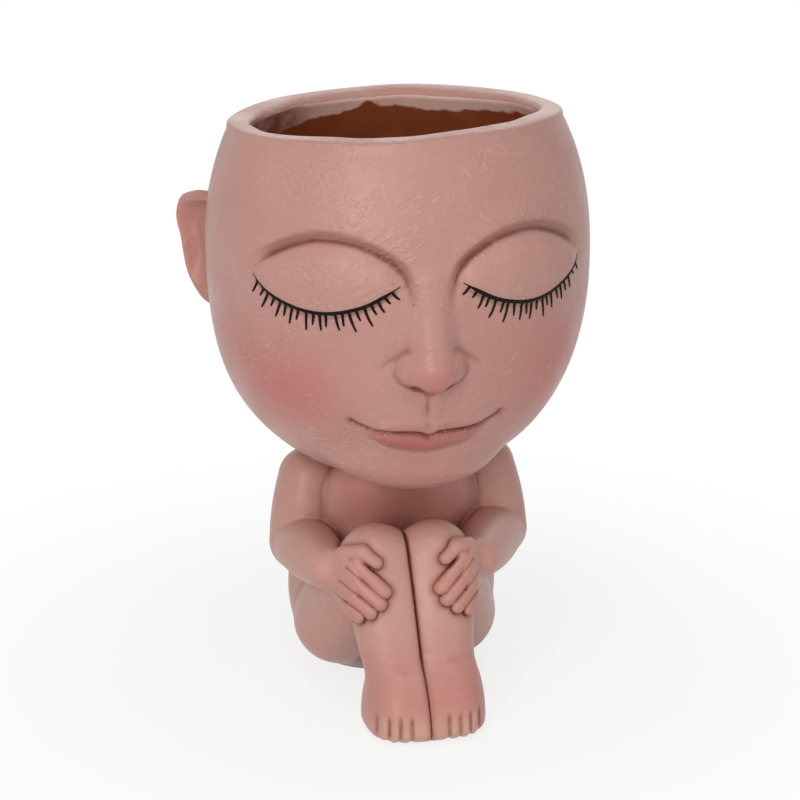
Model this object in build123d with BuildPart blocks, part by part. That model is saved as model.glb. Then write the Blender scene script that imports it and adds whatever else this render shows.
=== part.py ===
from build123d import *
import os
from math import asin, cos, degrees, hypot, radians, sin

# A cast resin head planter: a big hollow head with closed eyes is the pot, and it sits on a small
# figure that holds its knees. Each casting is its own solid, bonded to the next at pegs and sockets.
# A plastic tube drains the pot through the body, and a stopper closes the tube from below.
# Millimetres, +Z up. The figure looks along -Y, and its left side is at +X.
# The origin is on the ground, in the middle of the part's outline.

os.makedirs("parts", exist_ok=True)

# Cuts run past the faces that they open by this much
overrun = 4.0
# Glue line between a peg and its socket, on the radius and at the end
bond_gap = 0.15

# Head, the pot: an egg of superellipse outline, cut off at the neck and along a sloping rim
head_half_width = 56.0
head_half_depth = 54.5
head_half_height = 68.0
crown_fullness = 2.12
jaw_fullness = 2.4
widest_above_neck = 66.0
rim_above_widest = 38.4
rim_slope_degrees = 7.6
rim_tilt_degrees = 0.8
rim_round = 2.2
wall = 6.5
floor_thickness = 9.0
egg_sections = 12

# Closed eyelids, each a shallow swelling on the egg
lid_turn_degrees = 34.0
lid_above_widest = 6.6
lid_half_length = 25.0
lid_half_height = 17.6
lid_half_depth = 18.6
lid_rise = 2.8

# Nose: a ridge, a round tip and two wings
nose_root_above_widest = 2.0
nose_root_radius = 5.4
nose_root_sink = 4.6
nose_tip_below_widest = 20.0
nose_tip_reach = 55.0
nose_tip_radius = 6.4
nose_wing_below_widest = 22.5
nose_wing_reach = 52.6
nose_wing_spread = 6.6
nose_wing_radius = 4.3
nose_swell = 0.4

# Lips: each half is a spindle from the middle of the mouth to its corner
mouth_corner_spread = 19.0
mouth_corner_radius = 1.0
mouth_swell = 0.7
upper_lip_below_widest = 42.3
upper_lip_radius = 2.5
upper_corner_below_widest = 39.0
lower_lip_below_widest = 46.6
lower_lip_radius = 3.0
lower_corner_below_widest = 41.0
lip_sink = 0.6

# Chin
chin_below_widest = 51.4
chin_reach = 27.5
chin_half_width = 24.0
chin_half_depth = 16.5
chin_half_height = 14.4

# Ears
ear_turn_degrees = 18.0
ear_sweep_degrees = 36.0
ear_lean_degrees = 10.0
ear_below_widest = 3.0
ear_half_height = 17.5
ear_half_reach = 15.5
ear_half_thickness = 4.6
ear_stand_out = 13.0
ear_hollow_half_height = 11.5
ear_hollow_half_reach = 6.0
ear_hollow_depth = 4.0
ear_hollow_swell = 0.3
ear_peg_radius = 2.5
ear_peg_length = 4.0

# Torso and its neck. Each row of shares is a section: height, half width, front reach, back reach
torso_height = 67.5
torso_half_width = 31.0
torso_front = 16.0
torso_back = 36.0
neck_radius = 15.5
torso_section_shares = (
    (0.00, 0.69, 0.95, 0.80),
    (0.06, 0.84, 1.00, 0.93),
    (0.20, 0.96, 1.00, 1.00),
    (0.38, 1.00, 0.95, 0.97),
    (0.59, 0.91, 0.88, 0.86),
    (0.77, 0.83, 0.90, 0.72),
    (0.90, 0.71, 0.95, 0.57),
)

# Legs, drawn up together and leaning a little to the figure's right
hips_lean = -1.2
knees_lean = -5.0
feet_lean = -1.9
hip_spread = 16.5
hip_reach = 2.0
hip_height = 17.0
hip_radius = 13.8
thigh_swell = 1.2
knee_spread = 9.6
knee_reach = 33.0
knee_below_neck = 18.5
knee_radius = 9.9
shin_swell = 0.6
ankle_spread = 9.0
toes_ahead_of_ankle = 16.5
ankle_height = 15.0
ankle_radius = 7.4
leg_peg_radius = 4.5
leg_peg_length = 9.0
leg_peg_height = 24.0

# Feet, flat on the ground. Each row of toe shares is: place across the foot, radius, setback
toes_ahead_of_foot = 13.9
foot_half_length = 11.9
foot_half_width = 9.3
foot_half_height = 9.4
foot_center_height = 6.4
toe_reach = 65.5
toe_radius = 3.1
toe_length = 8.0
toe_setback = 11.0
toe_swell = 0.1
toe_tip_share = 0.9
toe_root_rise_share = 2.0
toe_shares = (
    (0.17, 1.00, 0.03),
    (0.41, 0.76, 0.00),
    (0.59, 0.73, 0.12),
    (0.76, 0.70, 0.42),
    (0.91, 0.66, 1.00),
)

# Arms: from the shoulder down to the elbow, then forward to a hand that lies on the shin
arms_lean = 0.9
shoulder_spread = 26.5
shoulder_back = 6.0
shoulder_below_neck = 8.1
shoulder_clearance = 1.0
shoulder_radius = 9.0
upper_arm_swell = 0.6
elbow_spread = 29.6
elbow_back = 3.0
elbow_below_shoulder = 18.8
elbow_radius = 8.9
forearm_swell = 0.9
wrist_outside_knee = 13.2
wrist_behind_knee = 2.0
wrist_below_knee = 3.0
wrist_radius = 6.4
arm_peg_radius = 4.0
arm_peg_length = 9.0

# Hands
hand_turn_degrees = 46.0
knuckle_outside_knee = 8.0
knuckle_ahead_of_knee = 9.6
knuckle_below_knee = 4.7
palm_half_length = 9.5
palm_half_width = 7.4
palm_half_thickness = 4.4
fingertip_inside_knee = 0.2
fingertip_ahead_of_knee = 13.8
fingertip_below_knee = 10.6
finger_count = 4
finger_pitch = 3.3
finger_radius = 2.1
finger_tip_radius = 1.8
finger_swell = 0.15
thumb_root_outside_knee = 8.0
thumb_root_ahead_of_knee = 6.2
thumb_root_above_knee = 1.6
thumb_tip_outside_knee = 1.6
thumb_tip_ahead_of_knee = 10.6
thumb_tip_below_knee = 1.4
thumb_radius = 2.8
thumb_tip_radius = 2.3

# Drain tube and its stopper
tube_radius = 6.0
tube_bore_radius = 4.5
outlet_radius = 10.0
outlet_depth = 3.6
stopper_clearance = 0.05
stopper_flange_radius = 9.2
stopper_flange_thickness = 2.2
stopper_length = 11.0
stopper_lead = 1.2
stopper_slot_width = 2.4
stopper_slot_depth = 1.0

# The part's outline runs from the toe tips to the back of the head, so the pot's axis stands here
pot_y = (toe_reach - head_half_depth) / 2
widest_height = torso_height + widest_above_neck
floor_height = torso_height + floor_thickness
knee_height = torso_height - knee_below_neck
shoulder_height = torso_height - shoulder_below_neck
ankle_reach = toe_reach - toes_ahead_of_ankle
rim_slope = radians(rim_slope_degrees)
rim_tilt = radians(rim_tilt_degrees)
rim_top_above_widest = rim_above_widest + head_half_depth * sin(rim_slope)
rim_plane = Plane(
    origin=(0, pot_y, widest_height + rim_above_widest),
    x_dir=(1, 0, 0),
    z_dir=(-sin(rim_tilt), sin(rim_slope), cos(rim_slope)),
)


# Places and plain forms
def spot(x, y, z):
    """A point measured from the pot's axis and the ground."""
    return Vector(x, pot_y + y, z)


def egg_share(level, half_height):
    """Share of the egg's full width at a level above or below its widest, along a superellipse."""
    fullness = crown_fullness if level > 0 else jaw_fullness
    return (1 - abs(level / half_height) ** fullness) ** (1 / fullness)


def egg(inset, bottom, top):
    """The head's egg, taken in by an inset all round, between two levels from its widest."""
    half_height = head_half_height - inset
    first, last = asin(bottom / half_height), asin(top / half_height)
    with BuildPart() as form:
        for step in range(egg_sections + 1):
            level = half_height * sin(first + (last - first) * step / egg_sections)
            share = egg_share(level, half_height)
            with BuildSketch(Plane(origin=(0, pot_y, widest_height + level))):
                Ellipse((head_half_width - inset) * share, (head_half_depth - inset) * share)
        loft()
    return form.part


def egg_point(turn_degrees, level):
    """A point on the egg's face, turned from the front towards the figure's left."""
    share = egg_share(level, head_half_height)
    turn = radians(turn_degrees)
    reach = share / hypot(sin(turn) / head_half_width, cos(turn) / head_half_depth)
    return spot(reach * sin(turn), -reach * cos(turn), widest_height + level)


def spindle(start, end, start_radius, end_radius, swell):
    """A round-ended limb between two points, swelling a little between its two radii."""
    run = end - start
    across = run.cross(Vector(1, 1, 1))
    middle_radius = (start_radius + end_radius) / 2 + swell
    with BuildPart() as form:
        with BuildSketch(Plane(origin=start, x_dir=run, z_dir=across)):
            with BuildLine():
                CenterArc((0, 0), start_radius, 90, 90)
                ThreePointArc(
                    (0, start_radius), (run.length / 2, middle_radius), (run.length, end_radius)
                )
                CenterArc((run.length, 0), end_radius, 0, 90)
                Line((-start_radius, 0), (run.length + end_radius, 0))
            make_face()
        revolve(axis=Axis(start, run))
    return form.part


def ellipsoid(plane, half_x, half_y, half_z):
    """A unit ball scaled to three half axes, on a plane."""
    return plane * Sphere(1).scale((half_x, half_y, half_z))


def peg(start, end, radius):
    """A round peg, or the bore for one, between two points."""
    run = end - start
    with BuildPart() as form:
        with BuildSketch(Plane(origin=start, z_dir=run)):
            Circle(radius)
        extrude(amount=run.length)
    return form.part


# Face forms on the head
def lid(side):
    """A closed eyelid: the part of a long ball that stands out of the egg."""
    turn = radians(side * lid_turn_degrees)
    outward = Vector(sin(turn), -cos(turn), 0)
    along = Vector(cos(turn), sin(turn), 0)
    center = egg_point(side * lid_turn_degrees, lid_above_widest) - outward * (lid_half_depth - lid_rise)
    ball = Plane(origin=center, x_dir=along, z_dir=outward)
    return ellipsoid(ball, lid_half_length, lid_half_height, lid_half_depth)


def nose():
    """The ridge, the tip and the two wings of the nose."""
    root = egg_point(0, nose_root_above_widest) + Vector(0, nose_root_sink, 0)
    tip = spot(0, -nose_tip_reach, widest_height - nose_tip_below_widest)
    forms = [spindle(root, tip, nose_root_radius, nose_tip_radius, nose_swell)]
    for side in (-1, 1):
        wing = spot(side * nose_wing_spread, -nose_wing_reach, widest_height - nose_wing_below_widest)
        forms.append(Plane(origin=wing) * Sphere(nose_wing_radius))
    return forms


def lip(side, middle_below, corner_below, radius):
    """One half of a lip, from the middle of the mouth to its corner."""
    corner_depth = egg_share(-corner_below, head_half_height)
    corner_turn = degrees(asin(mouth_corner_spread / (head_half_width * corner_depth)))
    sink = Vector(0, lip_sink, 0)
    middle = egg_point(0, -middle_below) + sink
    corner = egg_point(side * corner_turn, -corner_below) + sink
    return spindle(middle, corner, radius, mouth_corner_radius, mouth_swell)


face_forms = nose()
for side in (-1, 1):
    face_forms.append(lid(side))
    face_forms.append(lip(side, upper_lip_below_widest, upper_corner_below_widest, upper_lip_radius))
    face_forms.append(lip(side, lower_lip_below_widest, lower_corner_below_widest, lower_lip_radius))
chin = spot(0, -chin_reach, widest_height - chin_below_widest)
face_forms.append(ellipsoid(Plane(origin=chin), chin_half_width, chin_half_depth, chin_half_height))
head_egg = egg(0, -widest_above_neck, rim_top_above_widest)
pot_hollow = egg(wall, floor_thickness - widest_above_neck, rim_top_above_widest)
tube_bore = peg(spot(0, 0, -overrun), spot(0, 0, floor_height + overrun), tube_radius + bond_gap)


# Ears
def ear_frame(side):
    """The ear's seat: X runs out of the head and back, Z to the hollow front, and the top leans out."""
    seat = egg_point(side * (90 + ear_turn_degrees), -ear_below_widest)
    swept = radians(side * (90 + ear_turn_degrees + ear_sweep_degrees))
    lean = radians(ear_lean_degrees)
    reach = Vector(sin(swept), -cos(swept), 0) * cos(lean) - Vector(0, 0, sin(lean))
    hollow_side = Vector(cos(swept), sin(swept), 0) * -side
    return Plane(origin=seat, x_dir=reach, z_dir=hollow_side)


def ear_peg(side, gap):
    """The peg that holds an ear in the head's wall, or the socket for it when it has a gap."""
    frame = ear_frame(side)
    inner = frame.origin - frame.x_dir * (ear_peg_length + gap)
    outer = frame.origin + frame.x_dir * ear_peg_length
    return peg(inner, outer, ear_peg_radius + gap)


def ear(side):
    """One ear: a flat shell with a hollow front, seated on the head by its peg."""
    frame = ear_frame(side)
    sink = ear_half_reach - ear_stand_out
    body = frame.offset(0)
    body.origin = frame.origin - frame.x_dir * sink
    hollow = frame.offset(ear_half_thickness - ear_hollow_depth + ear_hollow_half_reach)
    hollow.origin = hollow.origin + frame.x_dir * (ear_stand_out - ear_hollow_half_reach) / 2
    shell = ellipsoid(body, ear_half_reach, ear_half_height, ear_half_thickness)
    along = frame.y_dir * (ear_hollow_half_height - ear_hollow_half_reach)
    ends = hollow.origin - along, hollow.origin + along
    scoop = spindle(*ends, ear_hollow_half_reach, ear_hollow_half_reach, ear_hollow_swell)
    socket = ear_peg(side, 0)
    with BuildPart() as casting:
        add(shell)
        add(scoop, mode=Mode.SUBTRACT)
        add(head_egg, mode=Mode.SUBTRACT)
        add(socket)
    return casting


# Head pot
ear_sockets = [ear_peg(side, bond_gap) for side in (-1, 1)]
with BuildPart() as head_pot:
    add(head_egg)
    for form in face_forms:
        add(form)
    split(bisect_by=Plane(origin=(0, pot_y, torso_height)), keep=Keep.TOP)
    split(bisect_by=rim_plane, keep=Keep.BOTTOM)
    add(pot_hollow, mode=Mode.SUBTRACT)
    rim_face = head_pot.faces().sort_by(Axis(rim_plane.origin, rim_plane.z_dir))[-1]
    fillet(rim_face.edges(), rim_round)
    add(tube_bore, mode=Mode.SUBTRACT)
    add(ear_sockets, mode=Mode.SUBTRACT)
head_pot.part.label = "head_pot"
export_step(head_pot.part, "parts/head_pot.step")

right_ear, left_ear = ear(-1), ear(1)
right_ear.part.label = "right_ear"
left_ear.part.label = "left_ear"
export_step(right_ear.part, "parts/right_ear.step")
export_step(left_ear.part, "parts/left_ear.step")


# Torso
def arm_peg(side, gap):
    """The peg from an arm into the side of the torso, or its socket when it has a gap."""
    outer = spot(arms_lean + side * shoulder_spread, shoulder_back, shoulder_height)
    inner = outer - Vector(side * (shoulder_radius + arm_peg_length + gap), 0, 0)
    return peg(outer, inner, arm_peg_radius + gap)


def leg_peg(side, gap):
    """The peg from a thigh into the front of the torso, or its socket when it has a gap."""
    outer = spot(hips_lean + side * hip_spread, -torso_front - leg_peg_length, leg_peg_height)
    inner = spot(hips_lean + side * hip_spread, leg_peg_length + gap - torso_front, leg_peg_height)
    return peg(outer, inner, leg_peg_radius + gap)


limb_sockets = [socket(side, bond_gap) for socket in (arm_peg, leg_peg) for side in (-1, 1)]
outlet = peg(spot(0, 0, -overrun), spot(0, 0, outlet_depth), outlet_radius)
with BuildPart() as torso:
    for height, width, front, back in torso_section_shares:
        front_y, back_y = -front * torso_front, back * torso_back
        with BuildSketch(Plane(origin=spot(0, (front_y + back_y) / 2, height * torso_height))):
            Ellipse(width * torso_half_width, (back_y - front_y) / 2)
    with BuildSketch(Plane(origin=spot(0, 0, torso_height))):
        Circle(neck_radius)
    loft()
    torso_form = torso.part
    add(limb_sockets, mode=Mode.SUBTRACT)
    add(outlet, mode=Mode.SUBTRACT)
    add(tube_bore, mode=Mode.SUBTRACT)
torso.part.label = "torso"
export_step(torso.part, "parts/torso.step")


# Legs
def beside_knee(side, outside, ahead, above):
    """A point measured from the middle of one knee."""
    return spot(knees_lean + side * (knee_spread + outside), -knee_reach - ahead, knee_height + above)


def leg_forms(side):
    """The foot, shin, thigh and toes of one leg, built up from the ground."""
    hip = spot(hips_lean + side * hip_spread, -hip_reach, hip_height)
    knee = beside_knee(side, 0, 0, 0)
    ankle = spot(feet_lean + side * ankle_spread, -ankle_reach, ankle_height)
    sole_middle = spot(feet_lean + side * foot_half_width, toes_ahead_of_foot - toe_reach, foot_center_height)
    sole = Plane(origin=sole_middle)
    forms = [
        ellipsoid(sole, foot_half_width, foot_half_length, foot_half_height),
        spindle(knee, ankle, knee_radius, ankle_radius, shin_swell),
        spindle(hip, knee, hip_radius, knee_radius, thigh_swell),
    ]
    for across, size, setback in toe_shares:
        radius = toe_radius * size
        x = feet_lean + side * 2 * foot_half_width * across
        tip_y = toe_setback * setback + radius - toe_reach
        root = spot(x, tip_y + toe_length, radius * toe_root_rise_share)
        tip = spot(x, tip_y, radius * toe_tip_share)
        forms.append(spindle(root, tip, radius, radius * toe_tip_share, toe_swell))
    return forms


def leg(side):
    """One leg, cut flat under the foot and where it meets the other leg, and seated on the torso."""
    forms = leg_forms(side)
    joint = leg_peg(side, 0)
    between_knees = spot(knees_lean, -knee_reach, knee_height)
    along_shins = spot(feet_lean, -ankle_reach, ankle_height) - between_knees
    aside = along_shins.cross(Vector(1, 0, 0)).cross(along_shins) * side
    between_legs = Plane(origin=between_knees, z_dir=aside)
    with BuildPart() as casting:
        for form in forms:
            add(form)
        add(torso_form, mode=Mode.SUBTRACT)
        split(bisect_by=Plane.XY, keep=Keep.TOP)
        split(bisect_by=between_legs, keep=Keep.TOP)
        add(joint)
    return casting


right_leg, left_leg = leg(-1), leg(1)
right_leg.part.label = "right_leg"
left_leg.part.label = "left_leg"
export_step(right_leg.part, "parts/right_leg.step")
export_step(left_leg.part, "parts/left_leg.step")


# Arms
def arm_forms(side):
    """The upper arm, forearm, palm, fingers and thumb of one arm."""
    shoulder = spot(arms_lean + side * shoulder_spread, shoulder_back, shoulder_height)
    elbow = spot(arms_lean + side * elbow_spread, elbow_back, shoulder_height - elbow_below_shoulder)
    wrist = beside_knee(side, wrist_outside_knee, -wrist_behind_knee, -wrist_below_knee)
    knuckle = beside_knee(side, knuckle_outside_knee, knuckle_ahead_of_knee, -knuckle_below_knee)
    fingertip = beside_knee(side, -fingertip_inside_knee, fingertip_ahead_of_knee, -fingertip_below_knee)
    thumb_root = beside_knee(side, thumb_root_outside_knee, thumb_root_ahead_of_knee, thumb_root_above_knee)
    thumb_tip = beside_knee(side, thumb_tip_outside_knee, thumb_tip_ahead_of_knee, -thumb_tip_below_knee)
    turn = radians(hand_turn_degrees)
    outward = Vector(side * sin(turn), -cos(turn), 0)
    back_of_hand = Plane(origin=knuckle, x_dir=fingertip - wrist, z_dir=outward)
    forms = [
        spindle(shoulder, elbow, shoulder_radius, elbow_radius, upper_arm_swell),
        spindle(elbow, wrist, elbow_radius, wrist_radius, forearm_swell),
        ellipsoid(back_of_hand, palm_half_length, palm_half_width, palm_half_thickness),
        spindle(thumb_root, thumb_tip, thumb_radius, thumb_tip_radius, finger_swell),
    ]
    for finger in range(finger_count):
        aside = back_of_hand.y_dir * finger_pitch * (finger - (finger_count - 1) / 2)
        forms.append(
            spindle(knuckle + aside, fingertip + aside, finger_radius, finger_tip_radius, finger_swell)
        )
    return forms


head_room = egg(-shoulder_clearance, -widest_above_neck, 0)


def arm(side, own_leg):
    """One arm, seated on the torso by its peg, clear of the head, with its hand cut to lie on the leg."""
    forms = arm_forms(side)
    joint = arm_peg(side, 0)
    with BuildPart() as casting:
        for form in forms:
            add(form)
        add(torso_form, mode=Mode.SUBTRACT)
        add(own_leg.part, mode=Mode.SUBTRACT)
        add(head_room, mode=Mode.SUBTRACT)
        add(joint)
    return casting


right_arm, left_arm = arm(-1, right_leg), arm(1, left_leg)
right_arm.part.label = "right_arm"
left_arm.part.label = "left_arm"
export_step(right_arm.part, "parts/right_arm.step")
export_step(left_arm.part, "parts/left_arm.step")


# Drain tube, from the outlet under the seat to the floor of the pot
with BuildPart() as drain_tube:
    with BuildSketch(Plane(origin=spot(0, 0, outlet_depth))):
        Circle(tube_radius)
        Circle(tube_bore_radius, mode=Mode.SUBTRACT)
    extrude(amount=floor_height - outlet_depth)
drain_tube.part.label = "drain_tube"
export_step(drain_tube.part, "parts/drain_tube.step")

# Stopper, pushed up into the tube until its flange meets the outlet's ceiling
with BuildPart() as drain_plug:
    with BuildSketch(Plane(origin=spot(0, 0, outlet_depth))):
        Circle(tube_bore_radius - stopper_clearance)
    extrude(amount=stopper_length)
    chamfer(drain_plug.edges().group_by(Axis.Z)[-1], stopper_lead)
    with BuildSketch(Plane(origin=spot(0, 0, outlet_depth - stopper_flange_thickness))):
        Circle(stopper_flange_radius)
    extrude(amount=stopper_flange_thickness)
    with BuildSketch(Plane(origin=spot(0, 0, outlet_depth - stopper_flange_thickness))):
        Rectangle(stopper_flange_radius * 2, stopper_slot_width)
    extrude(amount=stopper_slot_depth, mode=Mode.SUBTRACT)
drain_plug.part.label = "drain_plug"
export_step(drain_plug.part, "parts/drain_plug.step")
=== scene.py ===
# %% [markdown]
# # A head planter
# The real thing is a resin casting: a big hollow head with closed eyes is the pot, and it sits on a
# small figure that hugs its knees. It is sprayed flesh pink, blushed with an airbrush, and a brown
# wash is left in the creases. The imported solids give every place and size. This lesson lays a
# finished skin over them: each skin is a surface worked out with numpy and handed to Blender whole.

import bpy
import numpy as np
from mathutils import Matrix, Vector


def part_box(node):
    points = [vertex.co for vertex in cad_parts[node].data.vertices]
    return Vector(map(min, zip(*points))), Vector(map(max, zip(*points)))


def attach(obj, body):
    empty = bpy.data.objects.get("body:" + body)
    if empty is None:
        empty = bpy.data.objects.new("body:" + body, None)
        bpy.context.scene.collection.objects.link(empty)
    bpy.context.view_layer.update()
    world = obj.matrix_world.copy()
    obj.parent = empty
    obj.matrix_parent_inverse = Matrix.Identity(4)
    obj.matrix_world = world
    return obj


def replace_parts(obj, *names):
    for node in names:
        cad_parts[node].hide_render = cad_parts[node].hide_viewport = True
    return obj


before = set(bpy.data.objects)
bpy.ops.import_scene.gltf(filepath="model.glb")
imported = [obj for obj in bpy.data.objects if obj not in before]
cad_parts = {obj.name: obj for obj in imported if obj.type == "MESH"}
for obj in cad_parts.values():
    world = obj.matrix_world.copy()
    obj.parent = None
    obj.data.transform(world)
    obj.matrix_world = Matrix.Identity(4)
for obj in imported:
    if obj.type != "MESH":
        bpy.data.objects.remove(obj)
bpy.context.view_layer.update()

print("solids:", sorted(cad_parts))

# %% [markdown]
# ## Measures
# A casting like this is easiest to think of from the axis of its pot, so all shapes here are in
# millimetres from that axis, with the ground at zero. The figure looks along -Y. The sizes that the
# solids already hold are read from their boxes, so the skin can't drift away from them.

# %% Read the main sizes from the solids
MM = 0.001
head_low, head_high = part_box("head_pot")
tube_low, tube_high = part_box("drain_tube")
TUBE_RADIUS = (tube_high.x - tube_low.x) / 2 / MM
POT_Y = (tube_low.y + tube_high.y) / 2 / MM
POT_FLOOR = tube_high.z / MM
NECK = head_low.z / MM
HEAD_HALF_WIDTH = (head_high.x - head_low.x) / 2 / MM
HEAD_HALF_DEPTH = head_high.y / MM - POT_Y
HEAD_HALF_HEIGHT = 68.0
WIDEST = NECK + 66.0
WALL = 6.5
BORE_GAP = 0.15
print(f"pot axis at y {POT_Y:.1f} mm, neck at {NECK:.1f}, head {2 * HEAD_HALF_WIDTH:.1f} mm wide")

# %% [markdown]
# ## Small tools for shaping
# Three helpers carry most of the modelling. A smooth curve through a few given points draws an
# eyelid or a lip. A signed distance says how far a point lies outside a form, and two distances can
# be blended, which is how clay joins: the blend radius is the width of the thumbed-in fillet.

# %% Curves, humps and blends
def smoothstep(low, high, x):
    """0 below low and 1 above high, with the cubic 3t^2 - 2t^3 between."""
    t = np.clip((x - low) / (high - low), 0, 1)
    return t * t * (3 - 2 * t)


def hump(x, middle, width):
    """A bell curve: 1 at the middle, 0.37 at one width from it."""
    return np.exp(-(((x - middle) / width) ** 2))


def curve_through(points, x):
    """A smooth curve through given points: cubic spans whose end slopes follow the neighbours."""
    px, py = np.array(points, float).T
    slope = np.gradient(py, px)
    i = np.clip(np.searchsorted(px, x) - 1, 0, len(px) - 2)
    span = px[i + 1] - px[i]
    t = np.clip((x - px[i]) / span, 0, 1)
    start = (2 * t**3 - 3 * t**2 + 1) * py[i] + (t**3 - 2 * t**2 + t) * span * slope[i]
    end = (3 * t**2 - 2 * t**3) * py[i + 1] + (t**3 - t**2) * span * slope[i + 1]
    return start + end


def smooth_union(a, b, blend):
    """Two distances joined like clay: the smaller one, rounded off where they differ by less than blend."""
    t = np.clip(0.5 + 0.5 * (b - a) / blend, 0, 1)
    return b + (a - b) * t - blend * t * (1 - t)


def smooth_cut(solid, cutter, blend):
    """A solid with a cutter taken out of it, its edge rounded by the blend."""
    return -smooth_union(-solid, cutter, blend)


# %% Distances to a ball and to a limb
def length(v):
    """Length of each vector in the last axis."""
    return np.sqrt(np.einsum("...i,...i->...", v, v))


def ball(p, middle, half):
    """Distance to an ellipsoid: k(k - 1) / g, where k = |q/half| and g = |q/half^2| for q from its middle."""
    q = (p - np.array(middle)) / np.array(half)
    k = length(q)
    return k * (k - 1) / np.maximum(length(q / np.array(half)), 1e-6)


def limb(p, start, end, start_radius, end_radius, swell=0.0):
    """Distance to a round-ended limb: distance to a line less a radius that tapers and swells along it."""
    start, run = np.array(start), np.array(end) - np.array(start)
    t = np.clip((p - start) @ run / (run @ run), 0, 1)
    radius = start_radius + (end_radius - start_radius) * t + 4 * swell * t * (1 - t)
    return length(p - start - t[..., None] * run) - radius


print("union of 1 and 1 with a blend of 2:", smooth_union(1.0, 1.0, 2.0))

# %% [markdown]
# ## From numbers to a mesh
# Blender takes a mesh as points and faces. A closed grid of rows and columns gives its faces by
# counting, so no loop over points is needed. Every piece sits at the origin with its place in its
# points, like the solids, and each paint mask is a number stored on the points.

# %% Make pieces from grids
def grid_faces(rows, columns, loop=False, first=0):
    """Quads of a grid whose columns close into rings; with loop, its last row also joins the first."""
    r = np.arange(rows if loop else rows - 1)[:, None]
    c = np.arange(columns)[None, :]
    after, beside = (r + 1) % rows, (c + 1) % columns
    corners = [r * columns + c, r * columns + beside, after * columns + beside, after * columns + c]
    return np.stack(np.broadcast_arrays(*corners), -1).reshape(-1, 4) + first


def tube_faces(rows, columns, first=0, flip=False):
    """Quads of a grid of rings, and at each end triangles to one of the two points stored after it."""
    ring, pole, last = first + np.arange(columns), first + rows * columns, (rows - 1) * columns
    after = np.roll(ring, -1)
    start = np.stack([np.full_like(ring, pole), after, ring], -1)
    end = np.stack([np.full_like(ring, pole + 1), ring + last, after + last], -1)
    faces = [grid_faces(rows, columns, first=first), start, end]
    return [f[:, ::-1] for f in faces] if flip else faces


def make_piece(name, points, faces, body="planter", sharp_degrees=None):
    """Put points (mm from the pot's axis) and faces into a mesh object that rides on a body."""
    mesh = bpy.data.meshes.new(name)
    placed = (points.reshape(-1, 3) + np.array([0, POT_Y, 0])) * MM
    mesh.from_pydata(placed.tolist(), [], [f for group in faces for f in group.tolist()])
    mesh.shade_smooth()
    if sharp_degrees:
        mesh.set_sharp_from_angle(angle=np.radians(sharp_degrees))
    piece = bpy.data.objects.new(name, mesh)
    bpy.context.scene.collection.objects.link(piece)
    triangles = sum(len(polygon.vertices) - 2 for polygon in mesh.polygons)
    print(f"{name}: {len(placed)} points, {triangles} triangles")
    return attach(piece, body)


def paint_mask(piece, name, values):
    """Store one number for each point, for the paint to read."""
    layer = piece.data.attributes.new(name, "FLOAT", "POINT")
    layer.data.foreach_set("value", np.ascontiguousarray(values, np.float32).ravel())


def points_and_normals(piece):
    """A piece's points, back in mm from the pot's axis, and their normals."""
    points, normals = np.empty((2, len(piece.data.vertices) * 3), np.float32)
    piece.data.vertices.foreach_get("co", points)
    piece.data.vertex_normals.foreach_get("vector", normals)
    return points.reshape(-1, 3) / MM - np.array([0, POT_Y, 0]), normals.reshape(-1, 3)


# %% [markdown]
# ## Camera
# The photograph looks a little down on the planter and from its right. A long lens from 1.5 m away
# keeps the near feet and the far rim in the same proportion as they have there.

# %% Set the camera
AZIMUTH, ELEVATION = np.radians(-10.5), np.radians(20.5)
CAMERA_DISTANCE = 1500.0
CAMERA_AIM_HEIGHT = 84.0
CAMERA_AIM_ASIDE = 0.8
LENS, SENSOR_WIDTH = 229.5, 36.0
back = np.array([
    np.sin(AZIMUTH) * np.cos(ELEVATION), -np.cos(AZIMUTH) * np.cos(ELEVATION), np.sin(ELEVATION),
])
right = np.array([np.cos(AZIMUTH), np.sin(AZIMUTH), 0.0])
aim = np.array([0.0, POT_Y, CAMERA_AIM_HEIGHT]) + right * CAMERA_AIM_ASIDE
camera_data = bpy.data.cameras.new("camera")
camera_data.lens = LENS
camera_data.sensor_width = SENSOR_WIDTH
camera = bpy.data.objects.new("camera", camera_data)
camera.location = (aim + back * CAMERA_DISTANCE) * MM
camera.rotation_euler = (np.pi / 2 - ELEVATION, 0.0, AZIMUTH)
bpy.context.scene.collection.objects.link(camera)
bpy.context.scene.camera = camera
print("camera at", [round(v, 3) for v in camera.location])

# %% [markdown]
# ## The head's egg
# The head is an egg, fuller at the jaw than at the crown. Its outline is a superellipse, so one
# formula gives the width at any height, and its gradient gives the direction straight out of the
# surface. All of the face is then sculpted along that direction.

# %% The egg and its normal
CROWN_FULLNESS, JAW_FULLNESS = 2.12, 2.4


def egg_share(level, inset=0.0):
    """Share of the full width at a level from the widest: (1 - |level/height|^n)^(1/n)."""
    n = np.where(level > 0, CROWN_FULLNESS, JAW_FULLNESS)
    return np.maximum(1 - np.abs(level / (HEAD_HALF_HEIGHT - inset)) ** n, 0) ** (1 / n)


def egg_point(turn, z, inset=0.0):
    """Point at a turn from the front (radians, + to the figure's left) and a height, taken in by an inset."""
    wide, deep = HEAD_HALF_WIDTH - inset, HEAD_HALF_DEPTH - inset
    reach = egg_share(z - WIDEST, inset) / np.hypot(np.sin(turn) / wide, np.cos(turn) / deep)
    return np.stack(np.broadcast_arrays(reach * np.sin(turn), -reach * np.cos(turn), z), -1)


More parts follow.
